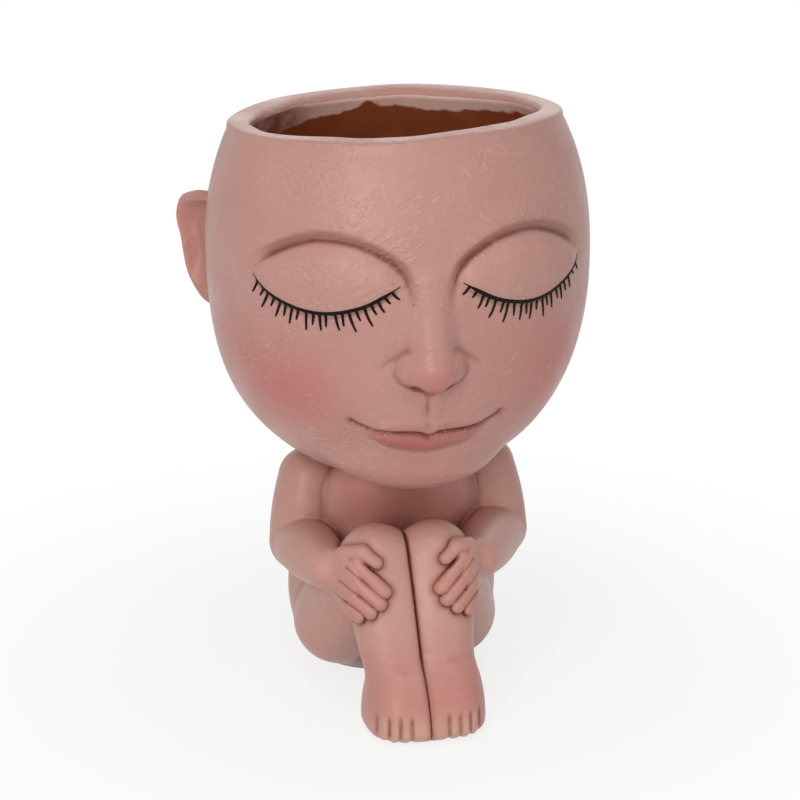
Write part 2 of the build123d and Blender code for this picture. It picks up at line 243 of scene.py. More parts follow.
def egg_normal(p):
    """Gradient of (x/width)^2 + (y/depth)^2 - share(z)^2, made one long."""
    level = p[..., 2] - WIDEST
    n = np.where(level > 0, CROWN_FULLNESS, JAW_FULLNESS)
    steep = np.sign(level) * np.abs(level / HEAD_HALF_HEIGHT) ** (n - 1) / HEAD_HALF_HEIGHT
    steep = steep * np.maximum(egg_share(level), 0.05) ** (2 - n)
    g = np.stack([p[..., 0] / HEAD_HALF_WIDTH**2, p[..., 1] / HEAD_HALF_DEPTH**2, steep], -1)
    return g / length(g)[..., None]


def egg_distance(p):
    """Distance to the egg: how far outside its outline, times the slope of its wall there."""
    outline = np.hypot(p[..., 0] / HEAD_HALF_WIDTH, p[..., 1] / HEAD_HALF_DEPTH)
    level = np.clip(p[..., 2] - WIDEST, 0.98 - HEAD_HALF_HEIGHT, HEAD_HALF_HEIGHT - 0.98)
    clipped = np.stack([p[..., 0], p[..., 1], level + WIDEST], -1)
    slope = length(egg_normal(clipped)[..., :2])
    return (outline - egg_share(level)) * HEAD_HALF_DEPTH * slope


print("egg half width at the mouth:", round(float(egg_share(-43.0)) * HEAD_HALF_WIDTH, 1))

# %% [markdown]
# ## Nose and chin
# These stand too far out of the egg for a simple relief. They are forms of their own, blended onto
# it: a soft blend at the bridge, and a tight one round the wings of the nose, which leaves the crease
# there. Each point of the egg's grid then walks in along its own line until the distance is zero.

# %% Forms that stand out of the egg: balls by middle and half sizes, limbs by ends and radii
CHIN = ((0, -27.5, 82.1), (24.0, 16.5, 14.4))
NOSE_TIP = ((0, -54.8, 113.8), (6.2, 6.6, 6.1))
NOSE_WING = ((6.0, -51.3, 113.4), (4.2, 4.6, 5.1))
NOSTRIL = ((4.4, -55.6, 107.4), (1.7, 2.6, 1.5))
BRIDGE = ((0, -51.6, 138.0), NOSE_TIP[0], 3.9, 5.9, 0.1)
SEPTUM = ((0, -56.0, 110.2), (0, -50.0, 106.8), 3.2, 2.0)
WING_BLEND, SEPTUM_BLEND, NOSTRIL_BLEND = 5.0, 2.5, 0.9
BRIDGE_BLEND, CHIN_BLEND, NOSE_BLEND = 4.2, 5.0, 1.1
WALK_START, WALK_STEPS, WALK_SHARE = 17.0, 40, 0.9


def mirrored(p):
    """Points of both sides brought to the figure's left."""
    return np.concatenate([np.abs(p[..., :1]), p[..., 1:]], -1)


def nose_distance(p):
    """The nose's ball, wings and septum, blended, with two nostrils cut out."""
    nose = smooth_union(ball(p, *NOSE_TIP), ball(mirrored(p), *NOSE_WING), WING_BLEND)
    nose = smooth_union(nose, limb(p, *SEPTUM), SEPTUM_BLEND)
    return smooth_cut(nose, ball(mirrored(p), *NOSTRIL), NOSTRIL_BLEND)


def forms_distance(p, egg):
    """The egg with the bridge and chin softly blended on, and the nose more tightly."""
    soft = smooth_union(egg, limb(p, *BRIDGE), BRIDGE_BLEND)
    soft = smooth_union(soft, ball(p, *CHIN), CHIN_BLEND)
    return smooth_union(soft, nose_distance(p), NOSE_BLEND)


def walk_in(base, normal, lean):
    """Walk from outside along normal + lean to the blended forms, by their distance at each step."""
    line = normal + lean
    line = line / length(line)[..., None]
    facing = np.einsum("...i,...i->...", line, normal)
    out = np.full(base.shape[:-1], WALK_START)
    for _ in range(WALK_STEPS):
        out = out - WALK_SHARE * forms_distance(base + line * out[..., None], out * facing)
    return base + line * np.maximum(out, 0.0)[..., None]


# %% [markdown]
# ## Relief of the face
# Lids, lips and folds are shallow, so they are one relief: a height in millimetres for each turn and
# level of the egg. An eyelid is a profile drawn between two curves, the brow's edge above and the
# lash line below. A lip is a half wave between two curves, and the mouth is a narrow groove.

# %% Curves of the face, as turn in degrees and height in mm
BROW_EDGE = [
    (4.5, 139.0), (7.2, 143.6), (10.8, 146.7), (15.9, 149.5), (22.5, 151.7), (29.9, 152.6),
    (36.8, 152.3), (43.2, 150.5), (50.0, 147.4), (56.3, 143.6), (62.0, 138.5), (68.0, 133.0),
]
LASH_LINE = [
    (5.0, 140.5), (10.4, 137.5), (14.2, 135.2), (18.8, 132.6), (25.0, 130.4), (31.6, 129.1),
    (38.9, 129.2), (45.2, 130.4), (50.8, 132.2), (56.6, 135.4), (62.0, 139.0),
]
BROW_LEDGE = [
    (-1.0, 0.0), (-0.3, 0.0), (0.3, 0.25), (2.3, 1.5), (3.0, 1.65), (4.2, 1.15), (7.5, 0.1), (9.0, 0.0),
]
LID_DOME = [(0.0, 0.75), (0.3, 1.15), (0.6, 0.6), (0.85, 0.0), (1.0, 0.0)]
MOUTH_LINE = [
    (0.0, 93.2), (2.0, 93.2), (7.4, 93.3), (11.5, 93.2), (18.9, 93.4), (25.3, 95.1), (30.0, 97.0),
]
UPPER_LIP_EDGE = [
    (0.0, 96.4), (4.0, 96.3), (11.8, 95.7), (18.4, 94.9), (25.3, 95.7), (30.0, 97.6),
]
LOWER_LIP_EDGE = [
    (0.0, 86.2), (9.1, 86.9), (14.7, 88.1), (18.7, 90.2), (25.3, 94.2), (30.0, 96.0),
]


def mouth_curves(aside):
    """Heights of the mouth line and of both lip edges, with the bow's dip at the middle."""
    line = curve_through(MOUTH_LINE, aside) - 1.2 * hump(aside, 0, 2.0)
    upper = curve_through(UPPER_LIP_EDGE, aside) - 1.9 * hump(aside, 0, 2.7)
    return line, upper, curve_through(LOWER_LIP_EDGE, aside)


# %% Soft spots of the face, as strength, turn and its width, height and its width
MUZZLE, CHEEK = (2.0, 0, 23.0, 94.5, 11.0), (0.9, 47.0, 15.0, 104.0, 12.0)
LIP_HOLLOW, LIP_DIMPLE = (1.0, 0, 14.0, 83.4, 2.3), (0.75, 26.4, 1.5, 95.0, 1.7)
LEAN_UNDER_NOSE, LEAN_BESIDE_NOSE = (0.9, 0, 13.0, 104.5, 5.0), (0.5, 11.5, 3.0, 112.0, 6.0)
WALKED_ASIDE, WALKED_BELOW = 45, 152


def spot(aside, z, strength, turn, wide, level, tall):
    """A soft spot on the unrolled face: strength times a hump across and a hump up."""
    return strength * hump(aside, turn, wide) * hump(z, level, tall)


# %% Relief of eyelids and mouth
def across_curve(points, aside, z):
    """Distance above a face curve, measured square to it on the unrolled face."""
    step = 0.5
    rise = curve_through(points, aside + step) - curve_through(points, aside - step)
    slope = rise / (np.radians(2 * step) * HEAD_HALF_WIDTH)
    return (z - curve_through(points, aside)) / np.sqrt(1 + slope**2)


def lid_relief(aside, z):
    """A ledge cut in below the brow's edge, and the lid's dome down to its edge at the lash line."""
    under_brow = -across_curve(BROW_EDGE, aside, z)
    brow, lash = curve_through(BROW_EDGE, aside), curve_through(LASH_LINE, aside)
    share = np.clip((z - lash) / np.maximum(brow - lash, 3.0), 0, 1)
    dome = curve_through(LID_DOME, share) * smoothstep(-0.9, 0.1, z - lash)
    undercut = 0.2 * hump(z - lash, -1.1, 1.1)
    ledge = curve_through(BROW_LEDGE, np.clip(under_brow, -1, 9))
    inner, outer = smoothstep(6.5, 15.0, aside), 1 - smoothstep(51.0, 61.5, aside)
    return outer * (inner * (dome - undercut) - smoothstep(4.5, 11.0, aside) * ledge)


def mouth_relief(aside, z):
    """Half waves for the lips, a groove between them, the hollow under them and the dimple beside them."""
    line, upper, lower = mouth_curves(aside)
    wide = 1 - smoothstep(13.0, 23.5, aside)
    above = np.clip((z - line) / (upper - line), 0, 1)
    under = np.clip((line - z) / (line - lower), 0, 1)
    lips = 0.8 * np.sin(np.pi * above) ** 0.8 + 1.5 * np.sin(np.pi * under**0.8) ** 0.9
    groove = 0.95 * hump(z, line, 0.62) * (1 - smoothstep(24.0, 27.5, aside))
    border = 0.3 * hump(z, upper, 0.7) * wide
    hollow, dimple = spot(aside, z, *LIP_HOLLOW), spot(aside, z, *LIP_DIMPLE)
    return lips * wide - groove + border - hollow - dimple


def face_relief(turn, z):
    """All shallow relief at a turn (degrees) and height, in mm along the egg's normal."""
    aside = np.abs(turn)
    muzzle, cheek = spot(aside, z, *MUZZLE), spot(aside, z, *CHEEK)
    fold = 0.55 * hump(aside, 11.8 + (117.0 - z) * 0.9, 2.0) * hump(z, 115.0, 3.4)
    philtrum = (0.35 * hump(turn, 2.4, 1.4) - 0.75 * hump(turn, -0.9, 1.4)) * hump(z, 101.0, 4.6)
    uneven = 0.22 * np.sin(np.radians(3 * turn) + z / 14) + 0.18 * np.sin(np.radians(5 * turn) - z / 9 + 1)
    return lid_relief(aside, z) + mouth_relief(aside, z) + muzzle + cheek - fold + philtrum + uneven


def head_surface(turn_degrees, z):
    """Outer skin of the head: the egg, walked out to nose and chin, plus the relief along its normal."""
    turn = np.radians(turn_degrees)
    base = egg_point(turn, z)
    normal = egg_normal(base)
    aside = np.abs(turn_degrees)
    down = spot(aside, z, *LEAN_UNDER_NOSE)
    apart = np.sign(turn_degrees) * spot(aside, z, *LEAN_BESIDE_NOSE)
    lean = apart[..., None] * np.array([1, 0, 0]) - down[..., None] * np.array([0, 0, 1])
    points = base.copy()
    front = (aside < WALKED_ASIDE) & (z < WALKED_BELOW)
    points[front] = walk_in(base[front], normal[front], lean[front])
    return points + normal * face_relief(turn_degrees, z)[..., None], normal


# %% [markdown]
# ## The head pot
# The whole pot is one closed grid: columns run round it, rows run up the face, over the lip, down the
# inside, across the floor and out again under the neck. The columns are close together on the face
# and wider at the back, so the detail goes where it is seen. The lip is a half superellipse, nearly
# square outside and rounder inside, on a rim plane that waves a little, as a hand-trimmed rim does.

# %% Rows and columns of the pot
RIM_ABOVE_WIDEST, RIM_SLOPE, RIM_TILT = 38.4, np.radians(7.6), np.radians(0.8)
LIP_HEIGHT, OUTER_SQUARENESS, INNER_SQUARENESS = 2.2, 5.0, 2.6
OUTSIDE, WELL_INSIDE = -20.0, 80.0
OVERSPRAY = [
    (-75, 6.0), (-20, 2.5), (60, 2.5), (110, 2.6), (140, 3.8), (160, 4.2), (172, 2.8), (180, 1.0),
    (188, 3.0), (205, 5.2), (225, 8.5), (250, 15.0), (268, 15.0), (285, 6.0),
]
columns = np.concatenate([np.arange(-75, 75, 0.6), np.arange(75, 285, 2.5)])
face_rows = np.concatenate([
    NECK + 12.5 * np.linspace(0, 1, 22, endpoint=False) ** 1.6,
    np.linspace(80.0, 154.0, 150, endpoint=False),
    np.linspace(154.0, 178.0, 20),
])


def rim_height(turn):
    """Height of the rim's plane where the egg meets it, found by a few rounds, plus a slight wave."""
    z = np.full_like(turn, WIDEST + RIM_ABOVE_WIDEST)
    for _ in range(6):
        p = egg_point(turn, z)
        z = WIDEST + RIM_ABOVE_WIDEST + np.sin(RIM_TILT) * p[:, 0] - np.tan(RIM_SLOPE) * p[:, 1]
    return z + 0.35 * np.sin(2 * turn + 0.8) + 0.25 * np.sin(3 * turn - 1.2) + 0.15 * np.sin(7 * turn)


def lip_rows(outer_edge, inner_edge):
    """Rows over the lip: (cos a)^(2/n) across and (sin a)^(2/n) up, with another n outside and inside."""
    angle = np.linspace(0, np.pi, 16)[1:-1, None, None]
    power = 2 / np.where(np.cos(angle) > 0, OUTER_SQUARENESS, INNER_SQUARENESS)
    across = np.sign(np.cos(angle)) * np.abs(np.cos(angle)) ** power
    rise = np.abs(np.sin(angle)) ** power * LIP_HEIGHT
    middle, half = (outer_edge + inner_edge) / 2, (outer_edge - inner_edge) / 2
    return middle + half * across + rise * np.array([0, np.sin(RIM_SLOPE), np.cos(RIM_SLOPE)])


def head_grid():
    """Points of the pot's closed grid, how far each is past the sprayed edge inside, and its level."""
    turn = np.radians(columns)
    top = rim_height(turn) - LIP_HEIGHT
    share = (face_rows - NECK) / (face_rows[-1] - NECK)
    z = NECK + share[:, None] * (top - NECK)[None, :]
    outer = head_surface(np.broadcast_to(columns, z.shape), z)[0]
    drop = np.concatenate([np.linspace(0, 0.16, 16, endpoint=False), np.linspace(0.16, 1, 20)])
    inner_z = top[None, :] + drop[:, None] * (POT_FLOOR - top)[None, :]
    ring = np.stack([np.sin(turn), -np.cos(turn), 0 * turn], -1)
    lumps = 0.35 * np.sin(4 * turn + 1) + 0.25 * np.sin(9 * turn) + 0.2 * np.sin(15 * turn + 2)
    inner = egg_point(turn[None, :], inner_z, WALL) + ring * lumps[:, None]
    bore = ring * (TUBE_RADIUS + BORE_GAP)
    drain = bore + np.array([0, 0, POT_FLOOR])
    floor = inner[-1] + np.linspace(0, 1, 7)[1:, None, None] * (drain - inner[-1])
    seat = bore + np.array([0, 0, NECK])
    under = seat + np.linspace(0, 1, 5)[:-1, None, None] * (outer[0] - seat)
    rows = [outer, lip_rows(outer[-1], inner[0]), inner, floor, under]
    bare = top[None, :] - inner_z - curve_through(OVERSPRAY, columns)[None, :]
    depths = [OUTSIDE, OUTSIDE, bare, WELL_INSIDE, OUTSIDE]
    depth = np.concatenate([np.broadcast_to(d, row.shape[:2]) for d, row in zip(depths, rows)])
    points = np.concatenate(rows)
    level = points[..., 2].copy()
    level[: len(z)] = z
    return points, depth, level


head_points, head_depth, head_level = head_grid()
head = make_piece("head", head_points, [grid_faces(*head_points.shape[:2], loop=True)], sharp_degrees=60)
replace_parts(head, "head_pot")

# %% [markdown]
# ## Lashes
# The lashes are strokes of black paint with a little body. Painted by mask they would blur between
# the points of the grid, so each stroke is a thin closed lens that hugs the skin: its middle line is
# drawn on the unrolled face, and every point is lifted off the skin along the normal.

# %% Lash strokes
LASH_COUNT = 21
LASH_LONG, LASH_SHORT, LASH_WIDTH, LASH_BODY = 5.9, 3.8, 0.48, 0.2
LINE_START, LINE_SPAN, ROOTS_START, ROOTS_SPAN = 9.6, 48.4, 10.6, 46.4
LINE_THIN, LINE_SWELL = 0.14, 0.52
LASH_FAN = [(0, -36), (0.3, -12), (0.6, 2), (1, 26)]


def lens_tubes(turn, z, half_width, slant, side):
    """Closed lens tubes along lines on the skin; arrays are strokes by steps, slant is the line's angle."""
    around = np.linspace(0, 2 * np.pi, 8, endpoint=False)
    aside = np.cos(around) * half_width[..., None]
    reach = HEAD_HALF_WIDTH * egg_share(z - WIDEST)
    tube_turn = turn[..., None] + np.degrees(aside * np.cos(slant)[..., None] / reach[..., None])
    tube_z = z[..., None] + aside * np.sin(slant)[..., None]
    skin, normal = head_surface(side * tube_turn, tube_z)
    lift = 0.1 + LASH_BODY * np.sin(around) * (half_width / half_width.max(-1, keepdims=True))[..., None]
    return skin + normal * lift[..., None]


def lash_line(side):
    """The line along the lid's edge, thin at both ends."""
    t = np.linspace(0, 1, 90)[None, :]
    turn = LINE_START + LINE_SPAN * t
    z = curve_through(LASH_LINE, turn) + 0.2
    taper = np.minimum(smoothstep(0, 0.12, t), 1 - smoothstep(0.82, 1.0, t))
    slope = np.gradient(z[0], np.radians(turn[0]) * HEAD_HALF_WIDTH)
    slant = np.arctan(slope)[None, :] + np.pi / 2
    return lens_tubes(turn, z, LINE_THIN + LINE_SWELL * taper, slant, side)


def lash_strokes(side, seed):
    """Strokes below the line, long and short by turns and fanned out, each a little off by chance."""
    rng = np.random.default_rng(seed)
    place = (np.arange(LASH_COUNT) + 0.5 + rng.uniform(-0.16, 0.16, LASH_COUNT)) / LASH_COUNT
    root_turn = ROOTS_START + ROOTS_SPAN * place
    root_z = curve_through(LASH_LINE, root_turn)
    long = np.arange(LASH_COUNT) % 2 == 0
    size = np.where(long, LASH_LONG, LASH_SHORT) * rng.uniform(0.86, 1.1, LASH_COUNT)
    size = size * (1 - 0.45 * smoothstep(0.25, 0.0, place) - 0.3 * smoothstep(0.85, 1.0, place))
    lean = np.radians(np.interp(place, *np.transpose(LASH_FAN)) + rng.uniform(-5, 5, LASH_COUNT))
    t = np.linspace(0, 1, 9)[None, :]
    bend = lean[:, None] * (0.75 + 0.5 * t)
    reach = HEAD_HALF_WIDTH * egg_share(root_z - WIDEST)[:, None]
    turn = root_turn[:, None] + np.degrees(size[:, None] * t * np.sin(bend) / reach)
    z = root_z[:, None] - size[:, None] * t * np.cos(bend)
    width = LASH_WIDTH * (1 - 0.4 * t**2) * np.ones_like(size)[:, None]
    return lens_tubes(turn, z, width, bend, side)


def lash_piece(side, name, seed):
    """The line and the strokes of one eye as closed tubes in one piece."""
    points, faces, first = [], [], 0
    for tube in [*lash_line(side), *lash_strokes(side, seed)]:
        ends = np.stack([tube[0].mean(0), tube[-1].mean(0)])
        points += [tube.reshape(-1, 3), ends]
        faces += tube_faces(*tube.shape[:2], first=first, flip=side < 0)
        first += tube.shape[0] * tube.shape[1] + len(ends)
    return make_piece(name, np.concatenate(points), faces)


lashes = [lash_piece(1, "left_lashes", seed=11), lash_piece(-1, "right_lashes", seed=5)]

# %% [markdown]
# ## Ears
# Each ear is a thin shell with a rolled edge, a soft groove inside the roll, and a hollow. It is
# drawn as a polar grid: the angle runs round the ear's outline and the radius from its middle to its
# edge. The front has the roll and the hollow, the back is a plain dome, and they meet at the edge.

# %% Ears
EAR_TURN, EAR_SWEEP, EAR_LEAN = 108.0, 36.0, np.radians(10.0)
EAR_BELOW_WIDEST, EAR_SINK, EAR_BACK = 3.0, 2.5, 3.4
EAR_OUTLINE = [
    (-180, 14.0), (-135, 15.6), (-90, 18.6), (-71, 19.2), (-50, 17.0), (-20, 13.5), (13, 13.4),
    (36, 16.6), (48, 17.5), (69, 16.4), (90, 15.6), (135, 14.6), (180, 14.0),
]


def ear_relief(radius, angle):
    """Height of the ear's front: a rolled edge, a groove inside it, and the hollow."""
    roll = smoothstep(-75, -25, angle) * (1 - smoothstep(120, 160, angle))
    edge = 1.6 * hump(radius, 0.88, 0.1) * (0.35 + 0.65 * roll) - 1.4 * hump(radius, 0.6, 0.15) * roll
    return 0.9 + edge - 2.8 * hump(radius, 0.15, 0.46)


def ear_piece(side, name):
    """The polar grid of one ear: middle to edge over the front, then back to the middle behind."""
    angle = np.linspace(-180, 180, 120, endpoint=False)
    radius = np.sin(np.linspace(0, np.pi / 2, 34)[1:])
    outline = curve_through(EAR_OUTLINE, angle)
    front = ear_relief(radius[:, None], angle[None, :]) * (1 - radius[:, None] ** 16) ** 0.5
    behind = -EAR_BACK * (1 - radius[::-1][1:, None] ** 2) ** 0.5 + 0 * angle
    radii = np.concatenate([radius, radius[::-1][1:]])[:, None]
    height = np.concatenate([front, behind])
    swept = np.radians(side * (EAR_TURN + EAR_SWEEP))
    level = np.array([np.sin(swept), -np.cos(swept), 0])
    out = level * np.cos(EAR_LEAN) - np.array([0, 0, np.sin(EAR_LEAN)])
    up = level * np.sin(EAR_LEAN) + np.array([0, 0, np.cos(EAR_LEAN)])
    face = np.array([np.cos(swept), np.sin(swept), 0]) * -side
    seat = egg_point(np.radians(side * EAR_TURN), np.array(WIDEST - EAR_BELOW_WIDEST)) - out * EAR_SINK
    x, y = radii * outline * np.cos(np.radians(angle)), radii * outline * np.sin(np.radians(angle))
    points = seat + x[..., None] * out + y[..., None] * up + height[..., None] * face
    poles = seat + face * np.array([[float(ear_relief(0.0, 0.0))], [-EAR_BACK]])
    faces = tube_faces(*points.shape[:2], flip=side > 0)
    return make_piece(name, np.concatenate([points.reshape(-1, 3), poles]), faces)


ears = [
    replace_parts(ear_piece(1, "ear_left"), "left_ear"),
    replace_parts(ear_piece(-1, "ear_right"), "right_ear"),
]

# %% [markdown]
# ## Skins for the seated figure
# Fingers, toes and knees fork and merge, and one grid of two parameters can't follow that. Here each
# piece is the zero surface of a signed distance: limbs and balls blended like clay. The distance is
# worked out on a lattice, each lattice cell that the surface passes through gets one point, and the
# cells round each crossed lattice edge give a quad. The points then slide onto the exact surface.

# %% Skin a signed distance
def skin_of(field, low, high, step):
    """Zero surface of a field: one point in each crossed cell, one quad at each crossed edge."""
    axes = [np.arange(a, b + step, step) for a, b in zip(low, high)]
    lattice = np.stack(np.meshgrid(*axes, indexing="ij"), -1)
    value = field(lattice)
    shape = np.array(value.shape)
    total, count = np.zeros((value.size, 3)), np.zeros(value.size)
    quads = []
    for axis in range(3):
        here = tuple(slice(0, -1) if a == axis else slice(None) for a in range(3))
        there = tuple(slice(1, None) if a == axis else slice(None) for a in range(3))
        crossed = (value[here] < 0) != (value[there] < 0)
        for other in {0, 1, 2} - {axis}:
            crossed[tuple(slice(0, 1) if a == other else slice(None) for a in range(3))] = False
        cell = np.stack(np.nonzero(crossed), -1)
        before, after = value[here][crossed], value[there][crossed]
        point = lattice[here][crossed]
        point[:, axis] += step * before / (before - after)
        u, v = np.eye(3, dtype=int)[(axis + 1) % 3], np.eye(3, dtype=int)[(axis + 2) % 3]
        around = [np.ravel_multi_index((cell - shift).T, shape) for shift in (0 * u, u, u + v, v)]
        for index in around:
            np.add.at(total, index, point)
            np.add.at(count, index, 1)
        quad = np.stack(around, -1)
        quads.append(np.where((before < 0)[:, None], quad, quad[:, ::-1]))
    used = np.nonzero(count)[0]
    number = np.full(value.size, -1)
    number[used] = np.arange(len(used))
    return settle(total[used] / count[used, None], field), number[np.concatenate(quads)]


def slope_of(points, field, reach=0.05):
    """Direction in which a field grows, from its differences along each axis."""
    steps = np.eye(3) * reach
    g = np.stack([field(points + step) - field(points - step) for step in steps], -1)
    return g / np.maximum(length(g), 1e-9)[:, None]


def settle(points, field):
    """Slide points onto the zero surface, twice, by their own distance along the slope."""
    for _ in range(2):
        points = points - 0.8 * field(points)[:, None] * slope_of(points, field)
    return points


# %% [markdown]
# ## Legs
# The legs are drawn up together and lean a little to the figure's right. A thigh, a shin and a foot
# are blended widely and cut flat where the two legs meet and on the ground. A foot is a short dome,
# squarer across than along, and the toes are only lines pressed into its front.

# %% The legs' distance
HIPS_LEAN, KNEES_LEAN, ANKLES_LEAN, FEET_LEAN, TOES_LEAN = -1.2, -4.0, -1.6, -0.7, -1.4
DIVIDE_LEAN = -2.2
HIP, KNEE, ANKLE = (16.5, -2.0, 17.0), (8.9, -33.0, 47.6), (7.6, -47.0, 15.0)
THIGH, SHIN, PRESSED_SHIN, PRESSED_INWARD = (13.8, 9.7, 1.2), (9.9, 7.7, 0.7), (8.4, 6.9, 0.7), 4.4
FOOT_MIDDLE, FOOT_HALF = np.array([3.6, -44.0, 4.0]), np.array([14.5, 18.5, 20.0])
HEEL_HALF, SOLE_HALF, FOOT_SQUARENESS, FEET_TURN = 11.0, 6.0, 3.7, 0.05
TOE_LINES = np.array([5.5, 8.9, 12.0, 14.9])
TOE_HEIGHT = 9.5
CREASE_ASIDE, CREASE_HEIGHT = 8.5, 22.0


def on_side(place, side, lean=0.0):
    """A place of the left side on a side (1 left, -1 right, 0 middle), moved across by a lean."""
    return np.array([lean + side * place[0], place[1], place[2]])


def knee_at(side):
    """Middle of one knee, or of both with 0 as the side."""
    return on_side(KNEE, side, KNEES_LEAN)


def toe_line(across):
    """Distance across the foot to the nearest line between two toes."""
    return np.abs(across[..., None] - TOE_LINES).min(-1)


def toe_share(p):
    """How far a point is in the toes: at the foot's front and low."""
    y = (p[..., 1] - FOOT_MIDDLE[1]) / FOOT_HALF[1]
    return smoothstep(-0.5, -0.7, y) * smoothstep(TOE_HEIGHT + 1, TOE_HEIGHT - 2, p[..., 2])


def foot_distance(p, side):
    """A dome |x/a|^n + (y/b)^2 + (z/c)^2 = 1, its distance by its gradient, with lines between the toes."""
    across = side * (p[..., 0] - FEET_LEAN)
    turned = p[..., 1] - FEET_TURN * (p[..., 0] - FEET_LEAN)
    q = (np.stack([across, turned, p[..., 2]], -1) - FOOT_MIDDLE) / FOOT_HALF
    q[..., 1] *= np.where(q[..., 1] > 0, FOOT_HALF[1] / HEEL_HALF, 1)
    q[..., 2] *= np.where(q[..., 2] < 0, FOOT_HALF[2] / SOLE_HALF, 1)
    power = np.array([FOOT_SQUARENESS, 2, 2])
    size = np.abs(q)
    steep = length(power * size ** (power - 1) / FOOT_HALF)
    dome = ((size**power).sum(-1) - 1) / np.maximum(steep, 0.05)
    line = toe_line(side * (p[..., 0] - TOES_LEAN))
    return dome + (0.4 * hump(line, 0, 1.5) + 0.8 * hump(line, 0, 0.6)) * toe_share(p)


def between_legs(p, side):
    """Signed distance to the plane between the legs, positive on the leg's own side."""
    middle = knee_at(0)
    down = on_side(ANKLE, 0, DIVIDE_LEAN) - middle
    aside = np.cross(np.cross(down, [1, 0, 0]), down)
    return (p - middle) @ (side * aside / np.linalg.norm(aside))


def shin_distance(p, side):
    """Thigh and shin, with the shin's inner side filled out where it is pressed against the other."""
    hip, ankle = on_side(HIP, side, HIPS_LEAN), on_side(ANKLE, side, ANKLES_LEAN)
    inward = on_side((PRESSED_INWARD, 0, 0), side)
    thigh = limb(p, hip, knee_at(side), *THIGH)
    shin = limb(p, knee_at(side), ankle, *SHIN)
    pressed = limb(p, knee_at(side) - inward, ankle - inward, *PRESSED_SHIN)
    return smooth_union(thigh, smooth_union(shin, pressed, 3.0), 3.0)


def ankle_crease(p, side):
    """1 in a short crease across the front of the ankle, where the foot bends up."""
    across = side * (p[..., 0] - FEET_LEAN)
    crease = hump(p[..., 2], CREASE_HEIGHT + 0.5 * side, 0.9) * hump(across, CREASE_ASIDE, 3.5)
    return crease * (p[..., 1] < ANKLE[1])


def leg_distance(p, side):
    """Thigh, shin and foot blended, then cut by the plane between the legs and by the ground."""
    leg = smooth_union(shin_distance(p, side), foot_distance(p, side), 2.0) + 0.4 * ankle_crease(p, side)
    return smooth_cut(smooth_cut(leg, between_legs(p, side), 0.8), p[..., 2], 1.0)


# %% [markdown]
# ## Arms and hands
# An arm hangs from the shoulder, bends at the elbow and lays its hand on the shin. The hand is a
# mitten pressed onto the leg, so its fingers are tubes that follow the leg: their lines are drawn flat
# in the hand's plane, and their height is measured from the leg's own distance. Tight blends keep
# the lines between the fingers open.

# %% The hands' distance, with places as inward and up from the knee
HAND_LIFT, HAND_OUT = 0.7, (0.3375, -0.834, 0.4368)
PALM_START, PALM_END, PALM_HALF, PALM_ROUND = (-13.0, -4.0), (-7.2, -7.0), 4.2, 2.1
FINGERS = [
    ((-3.0, -2.8), (5.7, -9.6), 2.05), ((-5.4, -6.4), (4.6, -13.2), 2.1),
    ((-7.6, -10.0), (2.0, -16.0), 2.0), ((-9.4, -13.2), (-1.6, -17.4), 1.8),
]
THUMB = [((-8.0, 0.8), (-1.6, 1.2), 2.2), ((-1.6, 1.2), (2.8, -1.6), 1.9)]
FINGER_BLEND, THUMB_BLEND, HAND_BEHIND = 0.4, 0.8, 2.0


def hand_place(p, side):
    """Place inward and up from the knee, and out of the hand's plane."""
    out = on_side(HAND_OUT, side)
    up = np.array([0, 0, 1]) - out * out[2]
    up = up / np.linalg.norm(up)
    inward = np.cross(up, out) * -side
    from_knee = p - knee_at(side)
    return np.stack([from_knee @ inward, from_knee @ up], -1), from_knee @ out


def tube_on_leg(place, height, start, end, radius):
    """Distance to a tube round a line drawn in the hand's plane, at a height above the leg."""
    return np.hypot(height, limb(place, start, end, 0, 0)) - radius


def hand_distance(p, side):
    """Palm, fingers and thumb: tubes round lines that lie a little above the leg's surface."""
    place, out = hand_place(p, side)
    height = shin_distance(p, side) - HAND_LIFT
    palm_aside = np.maximum(limb(place, PALM_START, PALM_END, PALM_HALF, PALM_HALF), 0)
    hand = np.hypot(height, palm_aside) - PALM_ROUND
    for finger in FINGERS:
        hand = smooth_union(hand, tube_on_leg(place, height, *finger), FINGER_BLEND)
    thumb = smooth_union(*[tube_on_leg(place, height, *bone) for bone in THUMB], 1.5)
    return np.maximum(smooth_union(hand, thumb, THUMB_BLEND), -HAND_BEHIND - out)


# %% The arms' distance
ARMS_LEAN = 0.9
SHOULDER, ELBOW, WRIST_FROM_KNEE = (26.5, 6.0, 59.4), (29.6, 3.0, 40.6), (13.4, 1.6, -2.6)
UPPER_ARM, FOREARM = (9.0, 9.2, 0.6), (8.6, 6.0, 1.2)


def arm_distance(p, side):
    """Upper arm and forearm with a tight fold at the elbow, softly blended into the hand."""
    shoulder, elbow = on_side(SHOULDER, side, ARMS_LEAN), on_side(ELBOW, side, ARMS_LEAN)
    wrist = knee_at(side) + on_side(WRIST_FROM_KNEE, side)
    upper, fore = limb(p, shoulder, elbow, *UPPER_ARM), limb(p, elbow, wrist, *FOREARM)
    return smooth_union(smooth_union(upper, fore, 0.9), hand_distance(p, side), 3.0)


# %% [markdown]
# ## Torso
# The torso is a soft ellipse at every height, wider and deeper at the seat and drawn in under the
# head. It is blended into the limbs a little way, so that no seam shows, and it is bored for the
# drain and hollowed for the stopper underneath.

